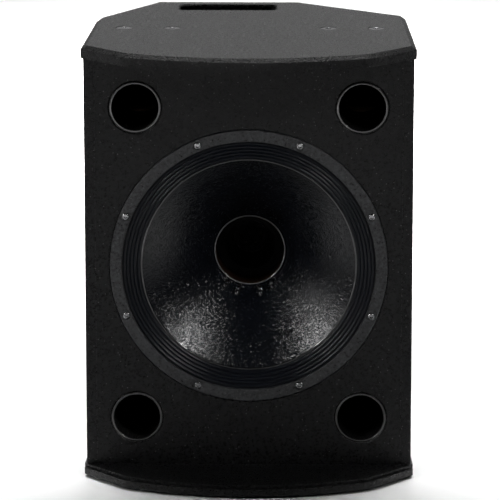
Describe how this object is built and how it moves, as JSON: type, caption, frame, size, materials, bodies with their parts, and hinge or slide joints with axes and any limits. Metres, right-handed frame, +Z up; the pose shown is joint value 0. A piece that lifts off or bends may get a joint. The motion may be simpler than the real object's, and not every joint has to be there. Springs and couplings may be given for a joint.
{
  "type": "public address speaker cabinet",
  "caption": "Upright wooden speaker cabinet with a bowed top and bottom, a round cone woofer with a tweeter behind its open neck, a bass port in each corner and a slot handle.",
  "frame": {"origin": "middle of the cabinet's footprint, on the floor", "axes": "+Z up, the driver faces -Y, +X to the viewer's right"},
  "size_m": [0.375, 0.4, 0.5],
  "materials": {
    "painted_wood": "textured black paint on birch plywood",
    "baffle_paint": "textured black paint on birch plywood",
    "raw_wood": "bare birch plywood",
    "wadding": "felted wadding",
    "port_plastic": "glossy black",
    "cup_plastic": "satin black",
    "zinc_steel": "zinc plated",
    "blackened_steel": "blackened low-carbon steel",
    "black_screw": "black oxide",
    "basket_paint": "textured grey-black paint on a casting",
    "gasket_foam": "closed-cell foam",
    "surround_cloth": "doped pleated cloth",
    "spider_cloth": "pleated cloth",
    "cone_paper": "coated blue-black paper",
    "former_film": "amber film",
    "copper": "enamelled copper",
    "glue": "glossy black glue",
    "ferrite": "dark ferrite",
    "throat_plastic": "black moulding",
    "housing_metal": "cast aluminium",
    "titanium": "thin metal foil",
    "board": "glass fibre board",
    "nylon": "nylon",
    "capacitor_film": "wrapped film",
    "resistor_body": "white cement",
    "plate_paint": "black powder coat on steel",
    "socket_plastic": "black moulding"
  },
  "bodies": {
    "cabinet": {"baffle": "baffle_paint", "bass_inductor": "copper", "board_spacers": "nylon", "bottom_left_port_tube": "port_plastic", "bottom_panel": "painted_wood", "bottom_right_port_tube": "port_plastic", "capacitors": "capacitor_film", "connector_plate": "plate_paint", "connector_plate_screws": "black_screw", "crossover_board": "board", "front_plate": "zinc_steel", "handle_cup": "cup_plastic", "handle_cup_screws": "zinc_steel", "left_bottom_rigging_plate": "zinc_steel", "left_rear_lining": "wadding", "left_rear_panel": "painted_wood", "left_side_lining": "wadding", "left_side_panel": "painted_wood", "left_socket": "socket_plastic", "left_top_rigging_plate": "zinc_steel", "lower_brace": "raw_wood", "magnet": "ferrite", "motor_bolts": "zinc_steel", "phase_plug": "throat_plastic", "pole_piece": "blackened_steel", "rear_panel": "painted_wood", "resistors": "resistor_body", "rigging_plate_screws": "zinc_steel", "right_bottom_rigging_plate": "zinc_steel", "right_rear_lining": "wadding", "right_rear_panel": "painted_wood", "right_side_lining": "wadding", "right_side_panel": "painted_wood", "right_socket": "socket_plastic", "right_top_rigging_plate": "zinc_steel", "spider": "spider_cloth", "surround": "surround_cloth", "throat": "throat_plastic", "top_fixing_bolts": "black_screw", "top_left_port_tube": "port_plastic", "top_panel": "painted_wood", "top_right_port_tube": "port_plastic", "treble_inductor": "copper", "tweeter_bolts": "zinc_steel", "tweeter_front_plate": "zinc_steel", "tweeter_housing": "housing_metal", "tweeter_rear_cover": "housing_metal", "upper_brace": "raw_wood", "woofer_basket": "basket_paint", "woofer_gasket": "gasket_foam", "woofer_screws": "black_screw", "woofer_tee_nuts": "zinc_steel"},
    "cone_assembly": {"cone": "cone_paper", "voice_coil_former": "former_film", "voice_coil": "copper", "lead_glue_beads": "glue"},
    "diaphragm": {"tweeter_diaphragm": "titanium"}
  },
  "joints": [
    {"name": "cone_slide", "type": "slide", "parent": "cabinet", "child": "cone_assembly", "axis": [0, -1, 0], "range_m": [-0.006, 0.006], "stiffness_N_per_m": 5500, "deforming": ["surround", "spider"]},
    {"name": "diaphragm_slide", "type": "slide", "parent": "cabinet", "child": "diaphragm", "axis": [0, -1, 0], "range_m": [-0.0004, 0.0004], "stiffness_N_per_m": 15000}
  ]
}
